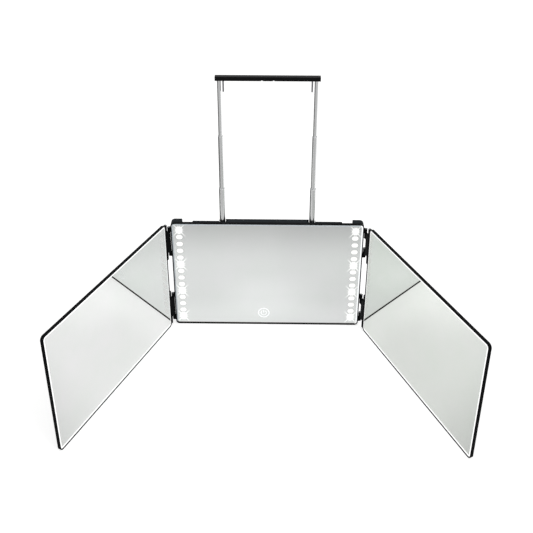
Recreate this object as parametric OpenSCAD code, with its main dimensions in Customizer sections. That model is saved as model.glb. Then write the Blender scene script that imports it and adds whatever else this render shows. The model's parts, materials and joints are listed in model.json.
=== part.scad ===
// Trifold vanity mirror: three framed mirrors on link hinges, a lit centre panel
// and a hanger bar on two telescopic rods.
// Origin: middle of the centre panel's bottom face. +X right, +Z up, the viewer is at -Y.
// The model is drawn in the rest pose: wings swung forward, rods half drawn out, hooks stored.

/* [Panels] */
// Width of each of the three panels
panel_w = 290; // [270:1:320]
// Height of each panel
panel_h = 186; // [180:1:220]
// Thickness of each panel
panel_t = 4.5; // [4.5:0.1:6]
// Width of the thin rim around the glass
rim_w = 1.4; // [1.2:0.1:3]
// Outer corner radius of the panels
corner_r = 6; // [5:0.5:10]
// Chamfer round the panels' rear edge
edge_chamfer = 0.3; // [0.2:0.1:1]

/* [Mirrors] */
// Thickness of the mirror glass
glass_t = 2; // [1.5:0.1:2.2]
// How far the glass lies below the front of the rim
glass_set = 0.3; // [0.1:0.1:0.5]
// Clearance between the glass and the rim
glass_gap = 0.15; // [0.1:0.05:0.3]
// Width of the ground bevel round the glass
bevel_w = 2; // [0.6:0.1:2.4]
// Depth of that bevel
bevel_d = 0.5; // [0.3:0.1:0.8]
// Thickness of the tape that bonds the glass
tape_t = 0.3; // [0.2:0.05:0.4]
// Inset of the tape from the edge of the glass
tape_inset = 1.5; // [0.5:0.1:3]

/* [Stance] */
// Angle of the left links, forward from straight out
left_link_angle = 40; // [0:1:60]
// Angle of the right links, forward from straight out
right_link_angle = 65; // [0:1:66]
// Angle of both wings, forward from straight out
wing_angle = 67; // [67:1:90]

/* [Hinges] */
// Diameter of the hinge pins
hinge_pin_d = 2; // [1.6:0.1:2.4]
// Distance of a hinge axis from its panel's edge
hinge_off = 2.8; // [2.8:0.1:4]
// Height of one hinge link
link_h = 50; // [44:1:60]
// Distance of a link from the panel's top or bottom edge
link_inset = 8; // [8:0.5:14]
// Height of one lug on the centre panel
centre_lug_h = 7; // [5:0.5:8]
// Height of one ear of a link
ear_h = 9; // [7:0.5:10]
// Distance from a right link's centre pins to its web, which leaves a slim window
link_window = 4.5; // [3:0.1:6]
// Height of one lug on a wing
wing_lug_h = 5; // [4:0.5:6]
// Gap between the centre mirror's frame and the first wing folded over it
fold_gap = 1.3; // [0.8:0.1:3]
// Gap between the two folded wings
stack_gap = 0.5; // [0.4:0.1:2]

/* [Telescopic rods] */
// Distance between the two rods
rod_spacing = 134; // [120:1:150]
// Outer diameter of the lower tubes
lower_od = 8.4; // [8.2:0.1:8.6]
// Outer diameter of the middle tubes
middle_od = 6.8; // [6.4:0.1:7]
// Outer diameter of the upper tubes
upper_od = 5.2; // [4:0.1:5.4]
// Wall of the upper tubes
upper_wall = 0.7; // [0.5:0.1:1]
// Length of a lower tube
lower_len = 150; // [130:1:150]
// Length of a middle tube
middle_len = 140; // [125:1:140]
// Length of an upper tube
upper_len = 142; // [130:1:143]
// Length of lower tube that stands out of the centre panel
lower_out = 55.4; // [20:0.1:80]
// Length of middle tube that stands out of the lower one
middle_out = 83.7; // [40:0.1:105]
// Length of upper tube between the middle one and the bar
upper_out = 83.3; // [40:0.1:110]
// Lowest point of the channels that the tubes slide in
channel_bottom = 28; // [28:1:40]

/* [Hanger bar] */
// Height of the bar
bar_h = 6; // [6:0.1:8]
// Depth of the bar, front to back
bar_d = 9; // [9:0.1:11]
// Length of bar beyond each rod's axis
bar_overhang = 5.5; // [5:0.5:12]
// Thickness of the lip that hides the hooks' arms
lip_t = 1.5; // [1:0.1:1.6]
// Height of the rebate that takes the hooks' arms
rebate_h = 3.2; // [3.2:0.1:3.6]
// Depth that an upper tube is sunk into the bar
bar_socket = 5; // [3.5:0.1:5]
// Distance between the two small notches in the lip
notch_gap = 16; // [8:1:24]
// Chamfer along the bar's long edges
bar_chamfer = 0.6; // [0.3:0.1:1]

/* [Hooks] */
// Thickness of the steel strap
strap_t = 2; // [1.5:0.1:2]
// Width of the steel strap
strap_w = 5; // [4:0.1:5]
// Outer radius of the bend between arm and leg
strap_bend_r = 3; // [2.5:0.1:5]
// Distance of the hooks' pivots from the middle
hook_pivot_x = 12; // [10:0.5:20]
// Length of leg below the bar
hook_drop = 17; // [12:0.5:17]
// Diameter of the pivot rivets
rivet_d = 3; // [2:0.1:3]
// Diameter of their heads
rivet_head_d = 5; // [4:0.1:5]

/* [Rear housing] */
// Depth of the middle box and of the two side columns behind the frame
box_depth = 9.5; // [9.5:0.1:12]
// Depth of the flat steps beside the rods
step_depth = 3.5; // [3:0.1:5]
// Width over both steps
step_w = 224; // [200:1:230]
// Thickness of the web between a step and a column
web_t = 1.2; // [1:0.1:2]
// Distance of that web below the panel's top edge
web_drop = 5; // [2:0.5:12]
// Wall of the housing
wall = 1.8; // [1.2:0.1:2]
// Distance of the rod ribs' upper end below the top edge
rib_drop = 18; // [18:0.5:24]
// Height of the guide bushes in the ribs
bush_h = 8; // [5:0.5:12]
// Wall of the guide bushes
bush_wall = 0.4; // [0.3:0.1:0.6]
// Chamfer along the housing's long rear edges
housing_chamfer = 1; // [0.5:0.1:1.2]

/* [Lights] */
// Number of lights in each column
led_count = 14; // [8:1:14]
// Height of a column's lowest light above the panel's bottom edge
led_bottom = 15; // [12:0.5:20]
// Distance of a column's highest light below the panel's top edge
led_top = 12.2; // [12:0.1:20]
// Distance of the lights from the visible edge of the glass
led_edge = 11.1; // [10:0.1:11.6]
// Width of a light window
window_w = 10; // [8.6:0.1:10.4]
// Height of a light window
window_h = 7.6; // [6:0.1:8.4]
// Depth of the windows in the glass
window_t = 0.4; // [0.2:0.1:0.6]
// Width of a light board
led_board_w = 5.2; // [5:0.1:6]

/* [Touch button] */
// Sideways place of the button
touch_x = -5; // [-12:0.5:12]
// Height of the button above the visible edge of the glass
touch_up = 21; // [17:0.5:24]
// Outer diameter of the button's lit ring
ring_d = 18; // [15:0.5:20]
// Width of that ring
ring_w = 1.1; // [0.8:0.1:2]

/* [Electronics] */
// Width of the battery
battery_w = 54; // [40:1:70]
// Height of the battery
battery_h = 72; // [50:1:90]
// Thickness of the battery
battery_t = 4.6; // [3.5:0.1:5]
// Width of the control board
board_w = 62; // [56:1:70]
// Height of the control board
board_h = 34; // [30:1:36]
// Thickness of the circuit boards
board_t = 1.6; // [1:0.1:1.6]
// Width of the charging socket
usb_w = 9; // [8.9:0.1:9.4]
// Height of the charging socket
usb_h = 3.2; // [3:0.1:3.4]
// Depth of the charging socket
usb_len = 7.6; // [6.5:0.1:7.6]
// Thickness of the charging socket's steel shell
usb_shell = 0.3; // [0.2:0.05:0.4]

/* [Screws] */
// Diameter of the housing screws' shanks
screw_d = 2.2; // [1.8:0.1:2.4]
// Diameter of their heads
screw_head_d = 4.4; // [3.8:0.1:4.6]
// Height of their heads
screw_head_h = 1.3; // [1:0.1:1.5]

/* [Hidden] */

$fn = 64;
cut = 1;                // overrun of a cutting tool past the face that it cuts
run_gap = 0.05;         // radial clearance of a sliding or turning fit
seat_gap = 0.02;        // clearance of a piece pressed or bonded in its seat
hinge_gap = 0.2;        // clearance between knuckles, end to end

// Depths in the panels, front to back
panel_front = -panel_t / 2;
panel_back = panel_t / 2;
glass_front = panel_front + glass_set;
glass_back = glass_front + glass_t;
tape_back = glass_back + tape_t;
glass_inset = rim_w + glass_gap;

// Hinges
knuckle_r = panel_t / 2;
pin_r = hinge_pin_d / 2;
axis_x = panel_w / 2 + hinge_off;
left_link_len = panel_t + fold_gap;
right_link_len = left_link_len + panel_t + stack_gap;
lug_root = hinge_off + rim_w - 0.2;
LINK_BOTTOMS = [link_inset, panel_h - link_inset - link_h];

// Rods, bushes and ribs
rod_x = rod_spacing / 2;
lower_r = lower_od / 2;
bush_bore_r = lower_r + run_gap;
bush_r = bush_bore_r + bush_wall;
channel_r = lower_r + 0.25;
rib_skin = 0.5;
rod_y = panel_back + rib_skin + bush_r;
rib_r = bush_r + 1.1;
rib_top = panel_h - rib_drop;
rib_out = rod_x + lower_r + 1;
lower_top = panel_h + lower_out;
middle_top = lower_top + middle_out;
bar_bottom = middle_top + upper_out;
mouth_chamfer = 0.3;

// Bar and hooks
bar_top = bar_bottom + bar_h;
bar_front = rod_y - bar_d / 2;
bar_back = rod_y + bar_d / 2;
rebate_top = bar_bottom + rebate_h;
strap_play = 0.2;
strap_bottom = rebate_top - strap_play - strap_t;
leg_gap = 0.6;
leg_out = rod_x - lower_r - leg_gap;
leg_in = leg_out - strap_t;
arm_len = leg_out - hook_pivot_x;
rebate_half = leg_out + 0.8;
rivet_head_h = 0.8;
notch_w = 2;
notch_h = 1.2;
grub_d = 2.5;

// Rear housing
box_back = panel_back + box_depth;
box_inside = box_back - wall;
block_half = rod_x - 3;
slot_in = leg_in - leg_gap;
cavity_half = slot_in - wall;
step_half = step_w / 2;
step_back = panel_back + step_depth;
step_inside = step_back - 1.4;
screw_boss_r = screw_head_d / 2 + 0.9;

// Lights
led_x = panel_w / 2 - rim_w - led_edge;
led_run = panel_h - led_bottom - led_top;
led_pitch = led_run / (led_count - 1);
light_slot_w = window_w + 1;
light_slot_end = 6;     // length of a slot beyond the end lights
led_chip = [2.8, 0.8, 3.5];
led_board_y = panel_back + 1.75;
led_board_t = 1;
led_board_end = 5.5;    // length of a board beyond the end lights
led_board_low = max(led_bottom - led_board_end, corner_r + 0.5);
led_board_high = min(led_bottom + led_run + led_board_end, panel_h - corner_r - 0.5);
column_in = led_x - led_board_w / 2 - 0.1 - wall;
column_cavity = column_in + wall;
side_inside = panel_w / 2 - wall;

// Touch button and boards
touch_z = rim_w + touch_up;
pad_d = ring_d - 2 * ring_w - 1;
pad_t = 0.3;
spring_d = 5;
flex_t = 0.3;
flex_y = panel_back + 0.05;
board_y = flex_y + flex_t;
board_x = -36;
board_z = 14;
led_flex_z = 13.5;
led_flex_w = 6;
usb_flex_z = 22;
usb_flex_w = 4;
flex_room = 0.5;
battery_z = board_z + board_h + 10;
battery_y = box_inside - battery_t - 0.1;
lead_x = [-4, -1];
lead_d = 1.3;
connector = [9, 4, 6];

// Charging socket, in the right column's side wall
usb_z = panel_h / 2;
usb_x = panel_w / 2 - 0.1 - usb_len;
usb_y = led_board_y + 1;
usb_board_t = 1;
usb_board_h = 14;

// Screws: sideways place, height and the depth of the face that they enter
SCREWS = [
    for (side = [-1, 1], top = [0, 1])
        each [
            [side * (cavity_half - 8), top ? panel_h - 8 : 8, box_back],
            [side * (step_half - 20), top ? rib_top - 12 : 34, step_back]
        ]
];
screw_end = tape_back + 0.5;
screw_sink = 0.1;

// ---------- shared shapes ----------

// Rectangle with round corners, from the origin up and to the right
module rounded_rect(w, h, r) {
    translate([r, 0]) square([w - 2 * r, h]);
    translate([0, r]) square([w, h - 2 * r]);
    for (x = [r, w - r], z = [r, h - r])
        translate([x, z]) circle(r);
}

// Upright plate of a panel's outline, drawn in from the edge, from depth y0 to depth y1
module plate(inset, y0, y1) {
    r = corner_r - min(inset, corner_r - 1);
    translate([inset, y1, inset])
        rotate([90, 0, 0])
            linear_extrude(y1 - y0)
                rounded_rect(panel_w - 2 * inset, panel_h - 2 * inset, r);
}

// The same for the centre panel, which is centred on x = 0
module centre_plate(inset, y0, y1) {
    translate([-panel_w / 2, 0, 0]) plate(inset, y0, y1);
}

// Box given by its lowest and highest corners
module block(low, high) {
    translate(low) cube(high - low);
}

// Round bar along y
module post(x, z, r, y0, y1) {
    translate([x, y1, z]) rotate([90, 0, 0]) cylinder(r = r, h = y1 - y0);
}

// Pill shape, w wide and h high, from depth y0 to depth y1
module pill(x, z, w, h, y0, y1) {
    straight = (w - h) / 2;
    for (end = [-1, 1])
        post(x + end * straight, z, h / 2, y0, y1);
    block([x - straight, y0, z - h / 2], [x + straight, y1, z + h / 2]);
}

// Round bar along z
module upright(x, y, r, z0, z1) {
    translate([x, y, z0]) cylinder(r = r, h = z1 - z0);
}

// Mirrors what is drawn for the right side onto the left one
module on_side(side) {
    if (side < 0) mirror([1, 0, 0]) children();
    else children();
}

// ---------- poses ----------

// Frame of a link: its centre pin at the origin, the link along +X
module at_link(side) {
    on_side(side)
        translate([axis_x, 0, 0])
            rotate(-(side < 0 ? left_link_angle : right_link_angle))
                children();
}

// Frame of a wing: its hinge pin at the origin, the wing along +X
module at_wing(side) {
    link_angle = side < 0 ? left_link_angle : right_link_angle;
    at_link(side)
        translate([side < 0 ? left_link_len : right_link_len, 0, 0])
            rotate(link_angle - wing_angle)
                children();
}

// ---------- panels ----------

// Tray with its rim, its chamfered rear edge and the pocket for the glass
module tray(chamfer = edge_chamfer) {
    difference() {
        if (chamfer == 0) plate(0, panel_front, panel_back);
        else hull() {
            plate(0, panel_front, panel_back - chamfer, $fn = 32);
            plate(chamfer, panel_front, panel_back, $fn = 32);
        }
        plate(rim_w, panel_front - cut, tape_back);
    }
}

// Mirror glass with its ground bevel
module glass() {
    hull() {
        plate(glass_inset + bevel_w, glass_front, glass_back, $fn = 32);
        plate(glass_inset, glass_front + bevel_d, glass_back, $fn = 32);
    }
}

// Tape sheet behind the glass
module tape() {
    plate(glass_inset + tape_inset, glass_back, tape_back);
}

// Hinge lug: a knuckle round the pin, joined to the panel on its right
module lug(z0, z1) {
    difference() {
        union() {
            upright(0, 0, knuckle_r, z0, z1);
            block([0, -knuckle_r, z0], [lug_root, knuckle_r, z1]);
        }
        upright(0, 0, pin_r + seat_gap, z0 - cut, z1 + cut);
    }
}

// Slot in a panel's floor for one column of lights
module light_slot(width, y0, y1) {
    block([led_x - width / 2, y0, led_bottom - light_slot_end],
        [led_x + width / 2, y1, led_bottom + led_run + light_slot_end]);
}

module centre_front_frame() {
    color([0.10, 0.10, 0.11])
        difference() {
            union() {
                translate([-panel_w / 2, 0, 0]) tray(0);
                for (side = [-1, 1], z = LINK_BOTTOMS)
                    on_side(side)
                        translate([axis_x, 0, 0])
                            mirror([1, 0, 0]) {
                                lug(z, z + centre_lug_h);
                                lug(z + link_h - centre_lug_h, z + link_h);
                            }
            }
            for (side = [-1, 1])
                on_side(side) light_slot(light_slot_w, tape_back - cut, panel_back + cut);
            post(touch_x, touch_z, ring_d / 2 + 0.5, tape_back - cut, panel_back + cut);
            for (s = SCREWS)
                post(s[0], s[1], screw_d / 2 + seat_gap, screw_end - 0.2, panel_back + cut);
        }
}

module centre_mirror() {
    color([0.86, 0.89, 0.90])
        difference() {
            translate([-panel_w / 2, 0, 0]) glass();
            for (x = [-led_x, led_x], i = [0:led_count - 1])
                pill(x, led_bottom + i * led_pitch, window_w + 2 * seat_gap, window_h + 2 * seat_gap,
                    glass_front - cut, glass_front + window_t);
            difference() {
                post(touch_x, touch_z, ring_d / 2 + seat_gap, glass_front - cut, glass_front + window_t);
                post(touch_x, touch_z, ring_d / 2 - ring_w - seat_gap,
                    glass_front - 2 * cut, glass_front + window_t + cut);
            }
        }
}

module centre_mirror_tape() {
    color([0.75, 0.75, 0.72])
        difference() {
            translate([-panel_w / 2, 0, 0]) tape();
            for (side = [-1, 1])
                on_side(side) light_slot(light_slot_w, glass_back - cut, tape_back + cut);
            post(touch_x, touch_z, ring_d / 2 + 0.5, glass_back - cut, tape_back + cut);
        }
}

module wing_tray(side) {
    color([0.10, 0.10, 0.11])
        at_wing(side) {
            translate([hinge_off, 0, 0]) tray();
            for (z = LINK_BOTTOMS) {
                lug(z - wing_lug_h, z);
                lug(z + link_h, z + link_h + wing_lug_h);
            }
        }
}

module wing_mirror(side) {
    color([0.86, 0.89, 0.90]) at_wing(side) translate([hinge_off, 0, 0]) glass();
}

module wing_tape(side) {
    color([0.75, 0.75, 0.72]) at_wing(side) translate([hinge_off, 0, 0]) tape();
}

// ---------- hinges ----------

// Link with a full-height barrel at the wing, two ears to the centre panel and a web between them
module link(length, web, z0) {
    low = z0 + centre_lug_h + hinge_gap;
    high = z0 + link_h - centre_lug_h - hinge_gap;
    difference() {
        union() {
            upright(length, 0, knuckle_r, z0 + hinge_gap, z0 + link_h - hinge_gap);
            block([web, -knuckle_r, low], [length, knuckle_r, high]);
            if (web == 0) upright(0, 0, knuckle_r, low, high);
            for (ear = [z0 + centre_lug_h + hinge_gap, z0 + link_h - centre_lug_h - ear_h]) {
                upright(0, 0, knuckle_r, ear, ear + ear_h - hinge_gap);
                block([0, -knuckle_r, ear], [length, knuckle_r, ear + ear_h - hinge_gap]);
            }
        }
        for (x = [0, length])
            upright(x, 0, pin_r + run_gap, z0 - cut, z0 + link_h + cut);
    }
}

module hinge_link(side, z0) {
    color([0.08, 0.08, 0.09])
        at_link(side)
            if (side < 0) link(left_link_len, 0, z0);
            else link(right_link_len, link_window, z0);
}

// Short pins: each passes through one centre lug and the ear beside it
module centre_pins(side) {
    color([0.70, 0.70, 0.72])
        on_side(side)
            for (z = LINK_BOTTOMS, z0 = [z, z + link_h - centre_lug_h - ear_h])
                upright(axis_x, 0, pin_r, z0 + hinge_gap, z0 + centre_lug_h + ear_h - hinge_gap);
}

// Long pins: each passes through two wing lugs and the link's barrel between them
module wing_pins(side) {
    color([0.70, 0.70, 0.72])
        at_wing(side)
            for (z = LINK_BOTTOMS)
                upright(0, 0, pin_r, z - wing_lug_h + hinge_gap, z + link_h + wing_lug_h - hinge_gap);
}

// ---------- rear housing ----------

// Plan outline of one half: box, step, web and side column
module housing_outline() {
    c = housing_chamfer;
    polygon([
        [0, panel_back],
        [panel_w / 2, panel_back],
        [panel_w / 2, box_back - c],
        [panel_w / 2 - c, box_back],
        [column_in + c, box_back],
        [column_in, box_back - c],
        [column_in, panel_back + web_t],
        [step_half, panel_back + web_t],
        [step_half, step_back - c / 2],
        [step_half - c / 2, step_back],
        [rib_out, step_back],
        [rib_out, box_back - c],
        [rib_out - c, box_back],
        [0, box_back]
    ]);
}

// Hollows of one half that are open to the front, under the frame
module housing_hollows() {
    block([-cut, panel_back - cut, wall], [cavity_half, box_inside, panel_h - wall]);
    difference() {
        block([rib_out + wall, panel_back - cut, 2 * wall],
            [step_half - wall, step_inside, panel_h - 2 * wall]);
        for (s = SCREWS)
            post(s[0], s[1], screw_boss_r, panel_back, step_back);
    }
    difference() {
        block([column_cavity, panel_back - cut, corner_r], [side_inside, box_inside, panel_h - corner_r]);
        block([led_x - led_board_w / 2 + 0.6, led_board_y + led_board_t, led_board_low],
            [led_x + led_board_w / 2 - 0.6, box_back, led_board_high]);
    }
}

// Cut at the head of one rib: room for the rod, and a slot for the stored hook's leg
module rib_head_cut() {
    block([rod_x - lower_r - 0.4, panel_back + rib_skin, rib_top],
        [rib_out - 0.4, box_back + rib_r, panel_h + cut]);
    block([slot_in, rod_y - strap_w / 2 - leg_gap, rib_top],
        [rod_x, rod_y + strap_w / 2 + leg_gap, panel_h + cut]);
    block([block_half, panel_back + rib_skin, rib_top], [rod_x, box_back + cut, panel_h + cut]);
}

// Groove for a flat cable, from the middle box to a side column
module flex_groove(z, width, x_end) {
    block([cavity_half - cut, panel_back - cut, z - flex_room],
        [x_end, flex_y + flex_t + 0.15, z + width + flex_room]);
}

module housing_half() {
    difference() {
        union() {
            intersection() {
                linear_extrude(panel_h) housing_outline();
                centre_plate(0, panel_back, box_back);
            }
            upright(rod_x, rod_y, rib_r, 0, rib_top);
        }
        block([rod_x - rib_r - cut, -box_back, -cut], [rod_x + rib_r + cut, panel_back, panel_h]);
        block([step_half, panel_back - cut, panel_h - web_drop],
            [column_in, panel_back + web_t + cut, panel_h + cut]);
        housing_hollows();
        rib_head_cut();
        upright(rod_x, rod_y, channel_r, channel_bottom, rib_top + cut);
        upright(rod_x, rod_y, bush_r + seat_gap, rib_top - bush_h, rib_top + cut);
        flex_groove(led_flex_z, led_flex_w, column_cavity + cut);
    }
}

// Stadium outline of the charging socket, standing on end
module usb_outline(grow) {
    r = usb_h / 2 + grow;
    reach = usb_w / 2 - usb_h / 2;
    square([2 * reach, 2 * r], center = true);
    for (x = [-reach, reach])
        translate([x, 0]) circle(r);
}

// Places a socket outline in the side wall and draws it along x
module usb_prism(grow, x0, x1) {
    translate([x0, usb_y + usb_h / 2, usb_z])
        rotate([90, 90, 90])
            linear_extrude(x1 - x0)
                usb_outline(grow);
}

module centre_rear_housing() {
    color([0.11, 0.11, 0.12])
        difference() {
            union() {
                for (side = [-1, 1])
                    on_side(side) housing_half();
                for (s = SCREWS)
                    post(s[0], s[1], screw_boss_r, panel_back, s[2]);
                for (x = [board_x + 5, board_x + board_w - 5], z = [board_z + 5, board_z + board_h - 5])
                    post(x, z, 2, board_y + board_t, box_inside + seat_gap);
            }
            for (s = SCREWS) {
                post(s[0], s[1], screw_d / 2 + 0.1, panel_back - cut, s[2] + cut);
                post(s[0], s[1], screw_head_d / 2 + 0.15, s[2] - screw_head_h - screw_sink, s[2] + cut);
            }
            flex_groove(usb_flex_z, usb_flex_w, column_cavity + cut);
            usb_prism(0.2, side_inside - cut, panel_w / 2 + cut);
        }
}

module housing_screws() {
    color([0.25, 0.25, 0.26])
        for (s = SCREWS) {
            head = s[2] - screw_sink - screw_head_h;
            post(s[0], s[1], screw_d / 2, screw_end, head + seat_gap);
            difference() {
                post(s[0], s[1], screw_head_d / 2, head, head + screw_head_h);
                for (turn = [0, 90])
                    translate([s[0], head + screw_head_h, s[1]])
                        rotate([0, turn, 0])
                            cube([screw_head_d * 0.55, 1.4, 0.6], center = true);
            }
        }
}

module rod_bush(side) {
    color([0.85, 0.85, 0.82])
        on_side(side)
            difference() {
                upright(rod_x, rod_y, bush_r, rib_top - bush_h + seat_gap, rib_top);
                upright(rod_x, rod_y, bush_bore_r, 0, panel_h);
            }
}

// ---------- lights and electronics ----------

module led_windows(side) {
    color([1, 1, 0.98])
        for (i = [0:led_count - 1])
            pill(side * led_x, led_bottom + i * led_pitch, window_w, window_h,
                glass_front, glass_front + window_t);
}

module led_diffuser(side) {
    color([0.97, 0.97, 0.95])
        on_side(side) light_slot(light_slot_w - 0.4, glass_back + 0.05, panel_back - 0.2);
}

module led_board(side) {
    color([0.92, 0.92, 0.90])
        on_side(side)
            block([led_x - led_board_w / 2, led_board_y, led_board_low],
                [led_x + led_board_w / 2, led_board_y + led_board_t, led_board_high]);
}

module led_chips(side) {
    color([1, 0.96, 0.75])
        for (i = [0:led_count - 1])
            translate([side * led_x, led_board_y - led_chip[1] / 2, led_bottom + i * led_pitch])
                cube(led_chip, center = true);
}

// Flat cable from the control board to a light board, with its folded end
module led_flex(side) {
    start = side < 0 ? -(board_x + 4) : board_x + board_w - 4;
    end = column_cavity + 0.6;
    color([0.85, 0.55, 0.15])
        on_side(side) {
            block([start, flex_y, led_flex_z], [end, board_y, led_flex_z + led_flex_w]);
            block([end - flex_t, flex_y, led_flex_z], [end, led_board_y, led_flex_z + led_flex_w]);
        }
}

module touch_ring() {
    color([0.95, 0.97, 1])
        difference() {
            post(touch_x, touch_z, ring_d / 2, glass_front, glass_front + window_t);
            post(touch_x, touch_z, ring_d / 2 - ring_w, glass_front - cut, glass_front + window_t + cut);
        }
}

module touch_pad() {
    color([0.80, 0.50, 0.30])
        post(touch_x, touch_z, pad_d / 2, glass_back + 0.05, glass_back + 0.05 + pad_t);
}

module touch_spring() {
    color([0.75, 0.75, 0.70])
        difference() {
            post(touch_x, touch_z, spring_d / 2, glass_back + 0.05 + pad_t, board_y);
            post(touch_x, touch_z, spring_d / 2 - 0.5, glass_back + 0.05 + pad_t - cut, board_y + cut);
        }
}

module control_board() {
    color([0.05, 0.35, 0.18])
        block([board_x, board_y, board_z], [board_x + board_w, board_y + board_t, board_z + board_h]);
}

module board_components() {
    face = board_y + board_t;
    top = board_z + board_h;
    color([0.15, 0.15, 0.16]) {
        block([-7, face, top - 6.5], [-7 + connector[0], face + connector[1], top - 0.5]);
        block([board_x + 12, face, board_z + 12], [board_x + 19, face + 1, board_z + 19]);
        block([board_x + 24, face, board_z + 10], [board_x + 29, face + 1.2, board_z + 14]);
        post(board_x + 45, board_z + 19, 3, face, face + 3);
        for (i = [0:4])
            block([board_x + 24 + 3 * i, face, board_z + 19],
                [board_x + 25.2 + 3 * i, face + 0.6, board_z + 21]);
    }
}

module battery() {
    color([0.60, 0.62, 0.66])
        translate([-battery_w / 2, battery_y + battery_t, battery_z])
            rotate([90, 0, 0])
                linear_extrude(battery_t)
                    rounded_rect(battery_w, battery_h, 2);
}

module battery_leads() {
    top = board_z + board_h;
    color([0.70, 0.10, 0.10])
        for (x = lead_x)
            upright(x, battery_y + lead_d / 2 + 0.2, lead_d / 2, top - 0.5, battery_z);
}

module usb_socket() {
    color([0.78, 0.78, 0.80]) {
        difference() {
            usb_prism(0, usb_x, usb_x + usb_len);
            usb_prism(-usb_shell, usb_x + 1, usb_x + usb_len + cut);
        }
        block([usb_x + 1, usb_y + usb_h / 2 - 0.35, usb_z - usb_w / 2 + 1.2],
            [usb_x + usb_len - 1, usb_y + usb_h / 2 + 0.35, usb_z + usb_w / 2 - 1.2]);
    }
}

module usb_board() {
    color([0.05, 0.35, 0.18])
        block([usb_x - 1.2, usb_y + usb_h, usb_z - usb_board_h / 2],
            [side_inside - 0.1, usb_y + usb_h + usb_board_t, usb_z + usb_board_h / 2]);
}

// Flat cable from the charging board down the column and across to the control board
module usb_flex() {
    x0 = usb_x + 0.7;
    x1 = x0 + usb_flex_w;
    top = usb_z - usb_board_h / 2 + 1;
    color([0.85, 0.55, 0.15]) {
        block([x0, flex_y, usb_flex_z], [x1, board_y, top]);
        block([board_x + board_w - 4, flex_y, usb_flex_z], [x1, board_y, usb_flex_z + usb_flex_w]);
        block([x0, flex_y, top - flex_t], [x1, usb_y + usb_h, top]);
    }
}

// ---------- rods ----------

// Tube with a rounded-off upper mouth
module tube(outer_r, inner_r, length) {
    rotate_extrude()
        polygon([
            [inner_r, 0],
            [outer_r, 0],
            [outer_r, length - mouth_chamfer],
            [outer_r - mouth_chamfer, length],
            [inner_r, length]
        ]);
}

module rod_tube(side, outer_d, inner_d, top, length) {
    color([0.78, 0.79, 0.81])
        translate([side * rod_x, rod_y, top - length])
            tube(outer_d / 2, inner_d / 2, length);
}

module lower_tube(side) {
    rod_tube(side, lower_od, middle_od + 2 * run_gap, lower_top, lower_len);
}

module middle_tube(side) {
    rod_tube(side, middle_od, upper_od + 2 * run_gap, middle_top, middle_len);
}

module upper_tube(side) {
    rod_tube(side, upper_od, upper_od - 2 * upper_wall, bar_bottom + bar_socket - seat_gap, upper_len);
}

// ---------- hanger bar and hooks ----------

// The bar's section, chamfered along its four long edges
module bar_section() {
    c = bar_chamfer;
    polygon([
        [bar_front + c, bar_bottom],
        [bar_back - c, bar_bottom],
        [bar_back, bar_bottom + c],
        [bar_back, bar_top - c],
        [bar_back - c, bar_top],
        [bar_front + c, bar_top],
        [bar_front, bar_top - c],
        [bar_front, bar_bottom + c]
    ]);
}

module hanger_bar() {
    half = rod_x + bar_overhang;
    color([0.12, 0.12, 0.13])
        difference() {
            translate([-half, 0, 0]) rotate([90, 0, 90]) linear_extrude(2 * half) bar_section();
            block([-rebate_half, bar_front + lip_t, bar_bottom - cut],
                [rebate_half, bar_back + cut, rebate_top]);
            for (side = [-1, 1]) {
                upright(side * rod_x, rod_y, upper_od / 2 + seat_gap,
                    bar_bottom - cut, bar_bottom + bar_socket);
                upright(side * hook_pivot_x, rod_y, rivet_d / 2 + seat_gap, bar_bottom, bar_top - 1);
                post(side * rod_x, bar_bottom + bar_h / 2, grub_d / 2 + seat_gap, rod_y, bar_back + cut);
                block([side * notch_gap / 2 - notch_w / 2, bar_front - cut, bar_bottom - cut],
                    [side * notch_gap / 2 + notch_w / 2, bar_front + lip_t + cut, bar_bottom + notch_h]);
            }
        }
}

module hook_rivets() {
    head_top = strap_bottom - 0.1;
    color([0.65, 0.65, 0.67])
        for (side = [-1, 1]) {
            upright(side * hook_pivot_x, rod_y, rivet_d / 2, head_top, bar_top - 1 - seat_gap);
            upright(side * hook_pivot_x, rod_y, rivet_head_d / 2, head_top - rivet_head_h, head_top);
        }
}

module bar_grub_screws() {
    color([0.30, 0.30, 0.31])
        for (side = [-1, 1])
            post(side * rod_x, bar_bottom + bar_h / 2, grub_d / 2,
                rod_y + upper_od / 2 + seat_gap, bar_back - 0.3);
}

// Side view of the strap: arm, bend and the upper part of the leg
module strap_profile() {
    straight = arm_len - strap_bend_r;
    square([straight, strap_t]);
    translate([straight, strap_t - strap_bend_r])
        intersection() {
            difference() {
                circle(strap_bend_r);
                circle(strap_bend_r - strap_t);
            }
            square(strap_bend_r);
        }
}

// Hook with its pivot at the origin and its arm along +X
module hook() {
    leg_top = strap_t - strap_bend_r;
    leg_end = bar_bottom - hook_drop - strap_bottom + strap_w / 2;
    difference() {
        union() {
            upright(0, 0, strap_w / 2, 0, strap_t);
            translate([0, strap_w / 2, 0]) rotate([90, 0, 0]) linear_extrude(strap_w) strap_profile();
            block([arm_len - strap_t, -strap_w / 2, leg_end], [arm_len, strap_w / 2, leg_top]);
            translate([arm_len - strap_t, 0, leg_end])
                rotate([0, 90, 0])
                    cylinder(r = strap_w / 2, h = strap_t);
        }
        upright(0, 0, rivet_d / 2 + run_gap, -cut, strap_t + cut);
    }
}

module placed_hook(side) {
    color([0.45, 0.45, 0.46])
        on_side(side)
            translate([hook_pivot_x, rod_y, strap_bottom])
                hook();
}

// ---------- the sub-parts ----------

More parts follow.
